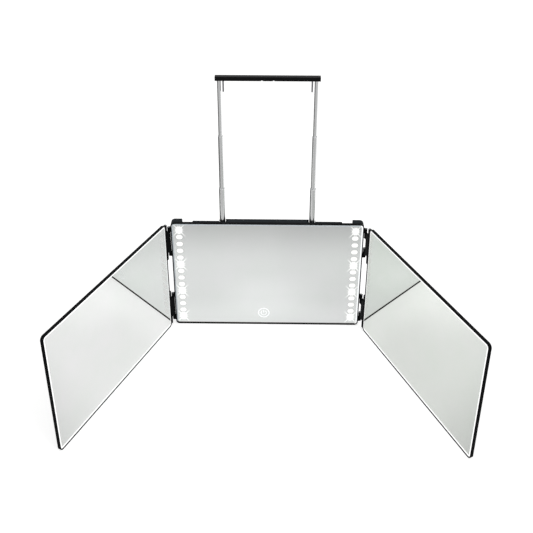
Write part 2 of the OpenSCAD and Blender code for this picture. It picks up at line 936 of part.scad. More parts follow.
centre_front_frame();
centre_rear_housing();
centre_mirror();
centre_mirror_tape();
led_windows(-1);  // led_windows_left
led_windows(1);  // led_windows_right
led_diffuser(-1);  // led_diffuser_left
led_diffuser(1);  // led_diffuser_right
led_board(-1);  // led_board_left
led_board(1);  // led_board_right
led_chips(-1);  // led_chips_left
led_chips(1);  // led_chips_right
led_flex(-1);  // led_flex_left
led_flex(1);  // led_flex_right
touch_ring();
touch_pad();
touch_spring();
control_board();
board_components();
battery();
battery_leads();
usb_socket();
usb_board();
usb_flex();
housing_screws();
rod_bush(-1);  // rod_bush_left
rod_bush(1);  // rod_bush_right
centre_pins(-1);  // left_centre_pins
centre_pins(1);  // right_centre_pins
hinge_link(-1, LINK_BOTTOMS[1]);  // left_upper_link
hinge_link(-1, LINK_BOTTOMS[0]);  // left_lower_link
hinge_link(1, LINK_BOTTOMS[1]);  // right_upper_link
hinge_link(1, LINK_BOTTOMS[0]);  // right_lower_link
wing_tray(-1);  // left_tray
wing_mirror(-1);  // left_mirror
wing_tape(-1);  // left_mirror_tape
wing_pins(-1);  // left_wing_pins
wing_tray(1);  // right_tray
wing_mirror(1);  // right_mirror
wing_tape(1);  // right_mirror_tape
wing_pins(1);  // right_wing_pins
lower_tube(-1);  // left_lower_tube
lower_tube(1);  // right_lower_tube
middle_tube(-1);  // left_middle_tube
middle_tube(1);  // right_middle_tube
upper_tube(-1);  // left_upper_tube
upper_tube(1);  // right_upper_tube
hanger_bar();
hook_rivets();
bar_grub_screws();
placed_hook(-1);  // left_hook
placed_hook(1);  // right_hook
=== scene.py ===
"""Looks of the trifold vanity mirror: camera, studio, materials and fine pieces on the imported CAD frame.

Lengths are in metres. MM marks those that are easier to read in millimetres."""

import json
import math

import bmesh
import bpy
from mathutils import Matrix, Vector


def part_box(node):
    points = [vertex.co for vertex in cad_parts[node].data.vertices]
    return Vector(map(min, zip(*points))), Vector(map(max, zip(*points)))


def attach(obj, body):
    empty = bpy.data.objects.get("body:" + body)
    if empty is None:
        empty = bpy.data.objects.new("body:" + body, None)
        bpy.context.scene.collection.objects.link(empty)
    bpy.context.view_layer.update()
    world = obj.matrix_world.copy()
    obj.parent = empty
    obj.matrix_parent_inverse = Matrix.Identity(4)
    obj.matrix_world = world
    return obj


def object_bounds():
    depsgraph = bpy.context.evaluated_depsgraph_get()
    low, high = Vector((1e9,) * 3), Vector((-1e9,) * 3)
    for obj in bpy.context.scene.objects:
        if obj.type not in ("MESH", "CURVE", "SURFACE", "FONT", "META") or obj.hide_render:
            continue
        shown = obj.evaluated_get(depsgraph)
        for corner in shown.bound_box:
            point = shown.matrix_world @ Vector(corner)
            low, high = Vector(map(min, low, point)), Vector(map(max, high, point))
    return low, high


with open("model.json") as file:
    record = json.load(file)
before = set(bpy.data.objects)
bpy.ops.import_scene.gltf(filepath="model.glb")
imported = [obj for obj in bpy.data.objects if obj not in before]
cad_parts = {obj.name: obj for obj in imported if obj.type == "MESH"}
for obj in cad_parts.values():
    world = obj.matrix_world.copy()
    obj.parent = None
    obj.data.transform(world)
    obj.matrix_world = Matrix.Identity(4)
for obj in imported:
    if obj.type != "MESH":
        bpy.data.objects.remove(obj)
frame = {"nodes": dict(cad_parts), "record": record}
CAD_BOX = [list(c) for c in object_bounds()]
MM = 0.001

# ---------------------------------------------------------------- camera

CAMERA_AT = Vector((9.9, -1015.1, 784.2)) * MM
CAMERA_DOWN = math.radians(28.113)   # below the horizon
CAMERA_TURN = math.radians(-0.626)   # from +Y towards +X
CAMERA_ROLL = math.radians(0.155)
PHOTO_SIDE = 533                     # pixels
FOCAL_PIXELS = 788.5
AXIS_ROW = 190.2                     # the row of pixels that the lens axis meets
SENSOR = 36.0                        # millimetres, as Blender gives a lens


def make_camera():
    """The photograph's camera: a view from above, with the lens axis above the picture's middle."""
    ahead = Vector((
        math.sin(CAMERA_TURN) * math.cos(CAMERA_DOWN),
        math.cos(CAMERA_TURN) * math.cos(CAMERA_DOWN),
        -math.sin(CAMERA_DOWN),
    ))
    right = ahead.cross(Vector((0, 0, 1))).normalized()
    up = right.cross(ahead)
    basis = Matrix((right, up, -ahead)).transposed().to_4x4()
    data = bpy.data.cameras.new("camera")
    data.sensor_width = SENSOR
    data.lens = FOCAL_PIXELS / PHOTO_SIDE * SENSOR
    data.shift_y = (AXIS_ROW - PHOTO_SIDE / 2) / PHOTO_SIDE
    data.clip_start = 0.01
    data.clip_end = 30
    camera = bpy.data.objects.new("camera", data)
    camera.matrix_world = Matrix.Translation(CAMERA_AT) @ basis @ Matrix.Rotation(CAMERA_ROLL, 4, "Z")
    bpy.context.collection.objects.link(camera)
    bpy.context.scene.camera = camera


# ---------------------------------------------------------------- node helpers

def new_material(name):
    """A material with an empty node tree, its output and a Principled shader."""
    material = bpy.data.materials.new(name)
    material.use_nodes = True
    tree = material.node_tree
    tree.nodes.clear()
    output = tree.nodes.new("ShaderNodeOutputMaterial")
    shader = tree.nodes.new("ShaderNodeBsdfPrincipled")
    tree.links.new(shader.outputs["BSDF"], output.inputs["Surface"])
    return material, tree, shader


def node(tree, kind, inputs=None, **settings):
    """A new node with its settings, and its inputs given as values or as sockets to link."""
    made = tree.nodes.new(kind)
    for key, value in settings.items():
        setattr(made, key, value)
    for key, value in (inputs or {}).items():
        if isinstance(value, bpy.types.NodeSocket):
            tree.links.new(value, made.inputs[key])
        else:
            made.inputs[key].default_value = value
    return made


def math_node(tree, operation, a, b=None):
    """The result socket of one Math node."""
    inputs = {0: a}
    if b is not None:
        inputs[1] = b
    return node(tree, "ShaderNodeMath", inputs, operation=operation).outputs[0]


def product(tree, a, b):
    """a times b."""
    return math_node(tree, "MULTIPLY", a, b)


def difference(tree, a, b):
    """a minus b."""
    return math_node(tree, "SUBTRACT", a, b)


def length(tree, across, along):
    """Length of the vector (across, along)."""
    squares = [product(tree, side, side) for side in (across, along)]
    return math_node(tree, "SQRT", math_node(tree, "ADD", *squares))


def place(tree):
    """Rest position on the object, in metres."""
    return node(tree, "ShaderNodeTexCoord").outputs["Object"]


def normal(tree):
    """The surface's direction at rest."""
    return node(tree, "ShaderNodeTexCoord").outputs["Normal"]


def separate(tree, vector):
    """The X, Y and Z of a vector."""
    return node(tree, "ShaderNodeSeparateXYZ", {"Vector": vector}).outputs


def facing(tree, direction):
    """1 where the surface faces the direction, 0 where it lies along it."""
    inputs = {0: normal(tree), 1: direction}
    return node(tree, "ShaderNodeVectorMath", inputs, operation="DOT_PRODUCT").outputs["Value"]


def noise(tree, scale, detail=3.0, roughness=0.55, where=None):
    """A noise value over the object."""
    inputs = {"Vector": where or place(tree), "Scale": scale, "Detail": detail, "Roughness": roughness}
    return node(tree, "ShaderNodeTexNoise", inputs).outputs["Fac"]


def stretched(tree, scale):
    """Rest position with each axis scaled, for grain that runs one way."""
    return node(tree, "ShaderNodeMapping", {"Vector": place(tree), "Scale": scale}).outputs["Vector"]


def ramp(tree, value, low, high, start=0.3, end=0.7):
    """A colour that goes from low to high as value goes from start to end."""
    made = node(tree, "ShaderNodeValToRGB", {"Fac": value})
    made.color_ramp.elements[0].position = start
    made.color_ramp.elements[0].color = (*low, 1)
    made.color_ramp.elements[1].position = end
    made.color_ramp.elements[1].color = (*high, 1)
    return made.outputs["Color"]


def spread(tree, value, low, high):
    """Value, which runs from 0 to 1, laid over low to high."""
    return node(tree, "ShaderNodeMapRange", {"Value": value, "To Min": low, "To Max": high}).outputs["Result"]


def smooth_step(tree, value, start, end):
    """0 up to start and 1 from end on, with a smooth change between them; start may be the larger one."""
    low, high, at_low, at_high = (start, end, 0.0, 1.0) if start < end else (end, start, 1.0, 0.0)
    return node(tree, "ShaderNodeMapRange", {
        "Value": value, "From Min": low, "From Max": high, "To Min": at_low, "To Max": at_high,
    }, interpolation_type="SMOOTHSTEP").outputs["Result"]


def bump(tree, shader, height, distance, strength=1.0, edge=None):
    """Raises the surface by height times distance, and softens its edges by the radius edge."""
    made = node(tree, "ShaderNodeBump", {"Height": height, "Distance": distance, "Strength": strength})
    if edge:
        rounded = node(tree, "ShaderNodeBevel", {"Radius": edge}, samples=4)
        tree.links.new(rounded.outputs["Normal"], made.inputs["Normal"])
    tree.links.new(made.outputs["Normal"], shader.inputs["Normal"])


def blend_colour(tree, share, first, second):
    """The first colour where share is 0 and the second where it is 1."""
    inputs = {"Factor": share, "A": first, "B": second}
    return node(tree, "ShaderNodeMix", inputs, data_type="RGBA").outputs["Result"]


def scaled_colour(tree, colour, factor):
    """A colour times a factor."""
    inputs = {0: colour, "Scale": factor}
    return node(tree, "ShaderNodeVectorMath", inputs, operation="SCALE").outputs["Vector"]


def dimmed_in_reflections(tree, colour, share):
    """The colour as it is, but only a share of it in what other mirrors show."""
    glossy = node(tree, "ShaderNodeLightPath").outputs["Is Glossy Ray"]
    return scaled_colour(tree, colour, spread(tree, glossy, 1.0, share))


# ---------------------------------------------------------------- plain materials

BLACK = (0.0019, 0.0020, 0.0023)
GREY_BLACK = (0.0038, 0.0041, 0.0047)
BLUE_BLACK = (0.0072, 0.0096, 0.0122)
BLUE_GREY = (0.0116, 0.0156, 0.0196)
WHITE = (1.0, 1.0, 1.0)
# The back faces' leather grain, painted paler than the black of the same plastic for a little more light
# there.
LEATHER_RIDGE_PAINTED_PALER = (0.0125, 0.0130, 0.0140)
LEATHER_GROOVE_PAINTED_PALER = (0.0075, 0.0080, 0.0088)
EDGE_RADIUS = 0.35 * MM              # how round the plastic's edges look
WING_TURN = math.radians(67)         # how far each wing stands forward at rest
FACE_NORMALS = {
    "centre_mirror": (0, -1, 0),
    "left_mirror": (math.sin(WING_TURN), -math.cos(WING_TURN), 0),
    "right_mirror": (-math.sin(WING_TURN), -math.cos(WING_TURN), 0),
}


def tray_back(mirror):
    """The direction that the back of a mirror's tray faces."""
    return tuple(-part for part in FACE_NORMALS[mirror])


def moulded_plastic(name, dark, light, roughness, gloss, grain=9000, grain_depth=0.02 * MM, back=None):
    """Black moulded plastic: spark-eroded grain, slow colour drift and rubbed spots.

    back is the direction of a broad face, painted paler than the rest of the same plastic, with a leather
    grain."""
    material, tree, shader = new_material(name)
    drift = noise(tree, scale=35, detail=4)
    colour = ramp(tree, drift, dark, light)
    if back:
        # Painted light: the broad back face is a paler, lit copy of the same plastic, with a leather grain.
        painted_paler_back = smooth_step(tree, facing(tree, back), 0.90, 0.97)
        cells = node(tree, "ShaderNodeTexVoronoi", {"Vector": place(tree), "Scale": 900.0})
        leather_painted_paler = ramp(tree, cells.outputs["Distance"], LEATHER_RIDGE_PAINTED_PALER, LEATHER_GROOVE_PAINTED_PALER, start=0.1, end=0.7)
        colour = blend_colour(tree, painted_paler_back, colour, leather_painted_paler)
    tree.links.new(colour, shader.inputs["Base Color"])
    rubbed = noise(tree, scale=120, detail=5, roughness=0.7)
    tree.links.new(spread(tree, rubbed, roughness - 0.07, roughness + 0.09), shader.inputs["Roughness"])
    shader.inputs["Specular IOR Level"].default_value = gloss
    bump(tree, shader, noise(tree, scale=grain, detail=2), grain_depth, strength=0.6, edge=EDGE_RADIUS)
    return material


def steel(name, dark, light, roughness, along=(1, 1, 0.02), ends=1.0):
    """Drawn steel: fine lines along one axis, with faint handling marks.

    ends is the share of its colour that the upward faces keep, as painted shade on them."""
    material, tree, shader = new_material(name)
    lines = noise(tree, scale=6000, detail=3, roughness=0.6, where=stretched(tree, along))
    colour = ramp(tree, lines, dark, light, start=0.25, end=0.75)
    if ends != 1.0:
        # Painted shade: the faces that look up are made darker.
        upward = smooth_step(tree, separate(tree, normal(tree))["Z"], 0.3, 0.7)
        colour = scaled_colour(tree, colour, spread(tree, upward, 1.0, ends))
    tree.links.new(colour, shader.inputs["Base Color"])
    marks = noise(tree, scale=160, detail=4, roughness=0.65)
    tree.links.new(spread(tree, marks, roughness - 0.04, roughness + 0.08), shader.inputs["Roughness"])
    shader.inputs["Metallic"].default_value = 1.0
    bump(tree, shader, lines, distance=0.004 * MM, strength=0.5)
    return material


def smooth_part(name, dark, light, roughness, scale=400, metallic=0.0):
    """Small smooth pieces: colour and gloss that vary a little over the surface."""
    material, tree, shader = new_material(name)
    drift = noise(tree, scale, detail=3)
    tree.links.new(ramp(tree, drift, dark, light), shader.inputs["Base Color"])
    tree.links.new(spread(tree, drift, roughness - 0.05, roughness + 0.05), shader.inputs["Roughness"])
    shader.inputs["Metallic"].default_value = metallic
    bump(tree, shader, noise(tree, scale * 6, detail=2), distance=0.006 * MM, strength=0.4)
    return material


def circuit_board(name, dark, light):
    """Solder mask with faint tracks under it."""
    material, tree, shader = new_material(name)
    tracks = node(tree, "ShaderNodeTexBrick", {
        "Vector": place(tree), "Scale": 240.0, "Mortar Size": 0.03,
        "Color1": (*dark, 1), "Color2": (*light, 1), "Mortar": (*light, 1),
    })
    tree.links.new(tracks.outputs["Color"], shader.inputs["Base Color"])
    shader.inputs["Roughness"].default_value = 0.35
    bump(tree, shader, tracks.outputs["Fac"], distance=0.02 * MM, strength=0.5)
    return material


# ---------------------------------------------------------------- lights and mirrors

LIGHTS_IN_COLUMN = 14
BRIGHT_LIGHTS = (0, 4, 8, 13)        # counted from the bottom; glare is painted round these
WINDOW_HEIGHT = 7.6 * MM
WINDOWS_IN_REFLECTIONS = 0.55        # share of the windows' light that other mirrors show, as in the photo
RIM_START, RIM_END = 0.4 * MM, 1.4 * MM   # from a window's edge to where its dull rim fades, and is gone
RIM_SHADE = 0.88
# Painted glare: a bloom and rays glow on the centre glass round the bright lights, but not in reflections.
STAR_HEIGHT = 0.86                   # heights count for less in a star, so it stands higher than wide
BLOOM_FULL, BLOOM_END, BLOOM_STRENGTH = 3.0 * MM, 7.2 * MM, 0.75
LONG_RAYS = {"count": 4, "sharpness": 60.0, "full": 5.0 * MM, "end": 16.0 * MM, "strength": 0.45}
SHORT_RAYS = {"count": 12, "sharpness": 8.0, "full": 5.5 * MM, "end": 9.5 * MM, "strength": 0.16}
STAR_COLOUR = (1.0, 1.0, 0.98)
WING_STRIP = 3.4 * MM                # the pale ground line along the wings' lower edge, which glows with the bevel's painted highlight
HAZE_TINT = (0.968, 0.988, 0.968)    # what the haze leaves of the silver's colour where it is thickest


def lit_window(name, colour, strength, body=1.0):
    """Frosted window with the light behind it and a fine frost over it; body scales its unlit colour."""
    material, tree, shader = new_material(name)
    frost = noise(tree, scale=2500, detail=3)
    low, high = [tuple(share * body * c for c in colour) for share in (0.93, 1.0)]
    tree.links.new(ramp(tree, frost, low, high), shader.inputs["Base Color"])
    light = ramp(tree, frost, tuple(0.96 * c for c in colour), colour)
    light = dimmed_in_reflections(tree, light, WINDOWS_IN_REFLECTIONS)
    tree.links.new(light, shader.inputs["Emission Color"])
    shader.inputs["Emission Strength"].default_value = strength
    shader.inputs["Roughness"].default_value = 0.35
    bump(tree, shader, frost, distance=0.01 * MM, strength=0.4)
    return material


def column_of_lights():
    """The columns' distance from the middle, half a window's straight part, first height and pitch."""
    low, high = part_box("led_windows_right")
    straight = (high[0] - low[0] - WINDOW_HEIGHT) / 2
    pitch = (high[2] - low[2] - WINDOW_HEIGHT) / (LIGHTS_IN_COLUMN - 1)
    return (low[0] + high[0]) / 2, straight, low[2] + WINDOW_HEIGHT / 2, pitch


def window_rims(tree, across, height):
    """A narrow dull rim in the silver round each window of a column."""
    _, straight, first, pitch = column_of_lights()
    steps = math_node(tree, "DIVIDE", difference(tree, height, first), pitch)
    nearest = math_node(tree, "MAXIMUM", math_node(tree, "ROUND", steps), 0.0)
    nearest = math_node(tree, "MINIMUM", nearest, LIGHTS_IN_COLUMN - 1.0)
    along = product(tree, difference(tree, steps, nearest), pitch)
    beyond = difference(tree, math_node(tree, "ABSOLUTE", across), straight)
    from_core = length(tree, math_node(tree, "MAXIMUM", beyond, 0.0), along)
    return smooth_step(tree, from_core, WINDOW_HEIGHT / 2 + RIM_END, WINDOW_HEIGHT / 2 + RIM_START)


def rays(tree, turn, reach, count, sharpness, full, end, strength):
    """Slanted rays of painted glare, evenly round a star, that fade with their reach."""
    wave = math_node(tree, "ABSOLUTE", math_node(tree, "SINE", product(tree, turn, count / 2)))
    peaks = math_node(tree, "POWER", wave, sharpness)
    return product(tree, product(tree, peaks, smooth_step(tree, reach, end, full)), strength)


def star(tree, across, along):
    """Painted glare of one bright light on the glass: a bloom that stands a little higher than wide, and
    rays.
    """
    along = product(tree, along, STAR_HEIGHT)
    reach = length(tree, across, along)
    turn = math_node(tree, "ARCTAN2", along, across)
    bloom = product(tree, smooth_step(tree, reach, BLOOM_END, BLOOM_FULL), BLOOM_STRENGTH)
    both = math_node(tree, "ADD", rays(tree, turn, reach, **LONG_RAYS), rays(tree, turn, reach, **SHORT_RAYS))
    return math_node(tree, "ADD", bloom, both)


def rims_and_painted_glare(tree):
    """The dull rims round the windows, and the glare painted round the brightest ones."""
    middle, _, first, pitch = column_of_lights()
    at = separate(tree, place(tree))
    across = difference(tree, math_node(tree, "ABSOLUTE", at["X"]), middle)
    painted_glare = 0.0
    for number in BRIGHT_LIGHTS:
        along = difference(tree, at["Z"], first + number * pitch)
        painted_glare = math_node(tree, "MAXIMUM", painted_glare, star(tree, across, along))
    return window_rims(tree, across, at["Z"]), painted_glare


def mirror_glass(name, silver, ground, foot, painted_highlight, strip=0.0, lights=False):
    """Silvered glass of a mirror node, with a breath of haze and a ground bevel, painted in the colour foot
    low down as shade.

    painted_highlight is a painted highlight, light that the bevel glows with besides the studio's, on its
    left side and on its right. strip is the least height of the ground line along the lower edge, which glows
    too.
    lights adds the dull rims round the lit windows and the glare painted round the brightest."""
    material, tree, shader = new_material(name.replace("mirror", "glass"))
    haze = noise(tree, scale=14, detail=4, roughness=0.6)
    colour = ramp(tree, haze, tuple(share * c for share, c in zip(HAZE_TINT, silver)), silver)
    painted_glare = (0, 0, 0, 1)
    if lights:
        rims, painted_glare = rims_and_painted_glare(tree)
        colour = scaled_colour(tree, colour, spread(tree, rims, 1.0, RIM_SHADE))
        # Painted glare: the glass glows round the bright lights, but not in what other mirrors show.
        painted_glare = ramp(tree, painted_glare, (0, 0, 0), STAR_COLOUR, start=0.0, end=1.0)
        painted_glare = dimmed_in_reflections(tree, painted_glare, 0.0)
    bevel = math_node(tree, "LESS_THAN", facing(tree, FACE_NORMALS[name]), 0.98)
    if strip:
        height = separate(tree, place(tree))["Z"]
        low = math_node(tree, "LESS_THAN", height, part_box(name)[0][2] + strip)
        bevel = math_node(tree, "MAXIMUM", bevel, low)
    lean = separate(tree, normal(tree))
    # Painted shade: where the bevel faces down it takes the colour given for below, dark on the centre
    # mirror.
    edge = blend_colour(tree, smooth_step(tree, lean["Z"], -0.06, -0.16), (*ground, 1), (*foot, 1))
    tree.links.new(blend_colour(tree, bevel, colour, edge), shader.inputs["Base Color"])
    tree.links.new(difference(tree, 1.0, bevel), shader.inputs["Metallic"])
    rough = math_node(tree, "ADD", spread(tree, haze, 0.0, 0.012), product(tree, bevel, 0.25))
    tree.links.new(rough, shader.inputs["Roughness"])
    # Painted highlight: the bevel glows of itself, as it leans to the left or to the right.
    left, right = [(share, share, share, 1) for share in painted_highlight]
    glare = blend_colour(tree, smooth_step(tree, lean["X"], 0.05, 0.12), left, right)
    tree.links.new(blend_colour(tree, bevel, painted_glare, glare), shader.inputs["Emission Color"])
    shader.inputs["Emission Strength"].default_value = 1.0
    return material


# ---------------------------------------------------------------- which material goes where

TRAY = {"dark": BLACK, "light": GREY_BLACK, "roughness": 0.38, "gloss": 0.03}
# the wings' bevels and ground strips glow with a painted highlight on both sides
WING_GLASS = {"ground": WHITE, "foot": WHITE, "painted_highlight": (0.6, 0.6), "strip": WING_STRIP}
LOOKS = {
    "frame_plastic": (moulded_plastic, TRAY),
    "left_tray": (moulded_plastic, {**TRAY, "back": tray_back("left_mirror")}),
    "right_tray": (moulded_plastic, {**TRAY, "back": tray_back("right_mirror")}),
    "housing_plastic": (moulded_plastic, {
        "dark": BLUE_BLACK, "light": BLUE_GREY, "roughness": 0.5, "gloss": 0.06,
        "grain": 5200, "grain_depth": 0.05 * MM}),
    "link_plastic": (moulded_plastic, {
        "dark": BLACK, "light": GREY_BLACK, "roughness": 0.36, "gloss": 0.04}),
    "bar_plastic": (moulded_plastic, {
        "dark": (0.0032, 0.0032, 0.0035), "light": (0.0055, 0.0055, 0.006),
        "roughness": 0.42, "gloss": 0.08}),
    # Painted shade: one silver in all three mirrors, painted darker in the centre and on the right, and
    # greener on the right.
    "centre_mirror": (mirror_glass, {
        # the centre bevel's downward faces are painted dark, as shade
        "silver": (0.82, 0.83, 0.83), "ground": (0.72, 0.78, 0.82), "foot": (0.10, 0.09, 0.085),
        # the centre bevel's right side glows with a painted highlight, its left side not
        "painted_highlight": (0.0, 0.75), "lights": True}),
    "left_mirror": (mirror_glass, {**WING_GLASS, "silver": (0.922, 0.923, 0.922)}),
    "right_mirror": (mirror_glass, {**WING_GLASS, "silver": (0.865, 0.885, 0.855)}),
    "bonding_tape": (smooth_part, {
        "dark": (0.62, 0.62, 0.58), "light": (0.74, 0.74, 0.70), "roughness": 0.8}),
    "light_window": (lit_window, {"colour": (1.0, 1.0, 0.985), "strength": 0.84, "body": 0.35}),
    "touch_light": (lit_window, {"colour": (0.97, 0.985, 1.0), "strength": 0.96, "body": 0.35}),
    "opal_diffuser": (lit_window, {"colour": (0.95, 0.95, 0.93), "strength": 0.25}),
    "white_board": (circuit_board, {"dark": (0.78, 0.78, 0.76), "light": (0.84, 0.84, 0.82)}),
    "green_board": (circuit_board, {"dark": (0.012, 0.13, 0.055), "light": (0.02, 0.19, 0.08)}),
    "led_chip": (lit_window, {"colour": (1.0, 0.93, 0.70), "strength": 0.8}),
    "flat_cable": (smooth_part, {
        "dark": (0.50, 0.22, 0.035), "light": (0.60, 0.28, 0.05), "roughness": 0.3}),
    "copper": (smooth_part, {
        "dark": (0.66, 0.33, 0.18), "light": (0.76, 0.40, 0.24), "roughness": 0.3, "metallic": 1.0}),
    "spring_steel": (steel, {
        "dark": (0.52, 0.52, 0.50), "light": (0.64, 0.64, 0.62), "roughness": 0.25}),
    "component_black": (smooth_part, {
        "dark": (0.02, 0.02, 0.021), "light": (0.035, 0.035, 0.036), "roughness": 0.5}),
    "battery_pouch": (smooth_part, {
        "dark": (0.44, 0.46, 0.49), "light": (0.55, 0.57, 0.60), "roughness": 0.4,
        "scale": 60, "metallic": 0.9}),
    "lead_insulation": (smooth_part, {
        "dark": (0.38, 0.015, 0.015), "light": (0.50, 0.025, 0.025), "roughness": 0.5}),
    "socket_steel": (steel, {
        "dark": (0.50, 0.50, 0.52), "light": (0.66, 0.66, 0.68), "roughness": 0.28, "along": (1, 0.05, 1)}),
    "black_steel": (smooth_part, {
        "dark": (0.03, 0.03, 0.032), "light": (0.05, 0.05, 0.052), "roughness": 0.35, "metallic": 0.8}),
    "bush_plastic": (smooth_part, {
        "dark": (0.66, 0.66, 0.62), "light": (0.78, 0.78, 0.74), "roughness": 0.4}),
    "pin_steel": (steel, {
        "dark": (0.48, 0.48, 0.50), "light": (0.60, 0.60, 0.62), "roughness": 0.25}),
    # the tubes' upward faces keep half their colour, as painted shade
    "tube_steel": (steel, {
        "dark": (0.78, 0.79, 0.80), "light": (0.92, 0.92, 0.92), "roughness": 0.14, "ends": 0.5}),
    "hook_steel": (steel, {
        "dark": (0.20, 0.20, 0.21), "light": (0.30, 0.30, 0.31), "roughness": 0.36, "along": (0.05, 1, 1)}),
}


def make_materials():
    """One material for each slot of the record, and for the nodes that have their own."""
    return {name: maker(name, **settings) for name, (maker, settings) in LOOKS.items()}


def dress_nodes(materials):
    """Gives every CAD node its own material where it has one, or else its slot's."""
    slots = {s["node"]: s["material_slot"] for s in frame["record"]["subparts"]}
    for name, obj in frame["nodes"].items():
        look = name if name in materials else slots[name]
        if not obj.material_slots:
            obj.data.materials.append(materials[look])
        for held in obj.material_slots:
            held.material = materials[look]


# ---------------------------------------------------------------- pieces

CAP_STEPS = 6                        # corners in a quarter of a band's round end
SIGN_STROKE = 1.0 * MM
SIGN_DEPTH = 0.06 * MM
SIGN_PROUD = 0.04 * MM               # how far the sign stands before the ring's front
SIGN_SHARE = 0.235                   # the arc's radius, as a share of the ring's width
SIGN_OPENING = math.radians(38)      # half the gap in the arc, at its top
SIGN_STEPS = 40
SIGN_UPRIGHT = (0.15, 1.15)          # the stroke's ends, in radii above the ring's middle
PADS = 12                            # contacts on each face of the socket's tongue
PAD_PITCH, PAD_WIDTH, PAD_LENGTH, PAD_THICKNESS = 0.5 * MM, 0.26 * MM, 2.2 * MM, 0.02 * MM
PAD_INSET = 1.2 * MM                 # from the socket's mouth to the pads' tips
TONGUE_HALF = 0.35 * MM
BEAD_SUNK = 0.1 * MM                 # how deep a bead's inner side lies in its tube
BEAD_WIDTH = 0.192 * MM
BEAD_HALF_HEIGHT = 0.6 * MM
BEAD_BELOW = 0.9 * MM                # from a tube's mouth down to its bead's middle
BEAD_CORNERS = 12


def new_piece(name, mesh_maker, material, body):
    """A mesh object from a bmesh function, with its material, that rides on a body."""
    mesh = bpy.data.meshes.new(name)
    shape = bmesh.new()
    mesh_maker(shape)
    bmesh.ops.recalc_face_normals(shape, faces=shape.faces)
    shape.to_mesh(mesh)
    shape.free()
    mesh.materials.append(material)
    for face in mesh.polygons:
        face.use_smooth = True
    piece = bpy.data.objects.new(name, mesh)
    bpy.context.collection.objects.link(piece)
    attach(piece, body)
    return piece


def swept_band(shape, path, width, depth):
    """A flat band in the XZ plane along path, with round ends, width wide and depth deep towards +Y."""
    radius = width / 2
    quarter = [math.pi / 2 * k / CAP_STEPS for k in range(CAP_STEPS)]
    first, last = (path[0] - path[1]).normalized(), (path[-1] - path[-2]).normalized()
    stations = [(path[0] + first * radius * math.cos(a), -first, radius * math.sin(a)) for a in quarter[1:]]
    for i, point in enumerate(path):
        ahead = (path[min(i + 1, len(path) - 1)] - path[max(i - 1, 0)]).normalized()
        stations.append((point, ahead, radius))
    stations += [(path[-1] + last * radius * math.cos(a), last, radius * math.sin(a)) for a in quarter[:0:-1]]
    back = Vector((0, depth, 0))
    rows = []
    for point, ahead, half in stations:
        side = Vector((-ahead.z, 0, ahead.x)) * half
        corners = (point - side, point + side, point + side + back, point - side + back)
        rows.append([shape.verts.new(corner) for corner in corners])
    for a, b in zip(rows, rows[1:]):
        for k in range(4):
            shape.faces.new((a[k], a[(k + 1) % 4], b[(k + 1) % 4], b[k]))
    shape.faces.new(rows[0])
    shape.faces.new(rows[-1])


def power_sign(materials):
    """The generic on/off sign inside the lit ring: an open arc and a short upright stroke."""
    low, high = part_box("touch_ring")
    centre = (low + high) / 2
    radius = (high[0] - low[0]) * SIGN_SHARE
    front = low[1] - SIGN_PROUD
    arc = []
    for i in range(SIGN_STEPS + 1):
        angle = math.pi / 2 + SIGN_OPENING + (2 * math.pi - 2 * SIGN_OPENING) * i / SIGN_STEPS
        across, up = radius * math.cos(angle), radius * math.sin(angle)
        arc.append(Vector((centre[0] + across, front, centre[2] + up)))
    upright = [Vector((centre[0], front, centre[2] + radius * share)) for share in SIGN_UPRIGHT]

    def build(shape):
        swept_band(shape, arc, SIGN_STROKE, SIGN_DEPTH)
        swept_band(shape, upright, SIGN_STROKE, SIGN_DEPTH)

    new_piece("power_sign", build, materials["touch_light"], "centre")


def lathe(shape, x, y, profile, segments=64):
    """A ring about a vertical axis through x, y, from a closed profile of (radius, height) points."""
    rings = []
    for i in range(segments):
        angle = 2 * math.pi * i / segments
        rings.append([
            shape.verts.new((x + r * math.cos(angle), y + r * math.sin(angle), z)) for r, z in profile
        ])
    for i in range(segments):
        a, b = rings[i], rings[(i + 1) % segments]
        for k in range(len(profile)):
            n = (k + 1) % len(profile)
            shape.faces.new((a[k], a[n], b[n], b[k]))


def tube_beads(materials):
    """The rolled bead round the mouth of each lower and middle tube."""
    turns = [2 * math.pi * k / BEAD_CORNERS for k in range(BEAD_CORNERS)]
    for side in ("left", "right"):
        for stage, body in (("lower", "lower_tubes"), ("middle", "middle_tubes")):
            name = f"{side}_{stage}_tube"
            low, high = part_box(name)
            x, y, _ = (low + high) / 2
            inner = (high[0] - low[0]) / 2 - BEAD_SUNK
            middle = high[2] - BEAD_BELOW
            profile = [
                (inner + BEAD_WIDTH * (1 + math.cos(t)) / 2, middle + BEAD_HALF_HEIGHT * math.sin(t))
                for t in turns
            ]

            def build(shape):
                lathe(shape, x, y, profile)

            new_piece(name + "_bead", build, materials["tube_steel"], body)


def cuboid(shape, low, high):
    """A box between two corners."""
    made = bmesh.ops.create_cube(shape, size=1.0)["verts"]
    for vertex in made:
        vertex.co = Vector([low[k] if vertex.co[k] < 0 else high[k] for k in range(3)])


def socket_contacts(materials):
    """The gilt contact pads on both faces of the charging socket's tongue."""
    low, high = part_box("usb_socket")
    centre = (low + high) / 2
    tip = high[0] - PAD_INSET

    def build(shape):
        for face in (-1, 1):
            near = centre[1] + face * TONGUE_HALF
            depths = sorted((near, near + face * PAD_THICKNESS))
            for i in range(PADS):
                z = centre[2] + (i - (PADS - 1) / 2) * PAD_PITCH
                cuboid(shape, (tip - PAD_LENGTH, depths[0], z - PAD_WIDTH / 2),
                       (tip, depths[1], z + PAD_WIDTH / 2))

    contacts = new_piece("socket_contacts", build, materials["copper"], "centre")
    for face in contacts.data.polygons:
        face.use_smooth = False


# ---------------------------------------------------------------- studio

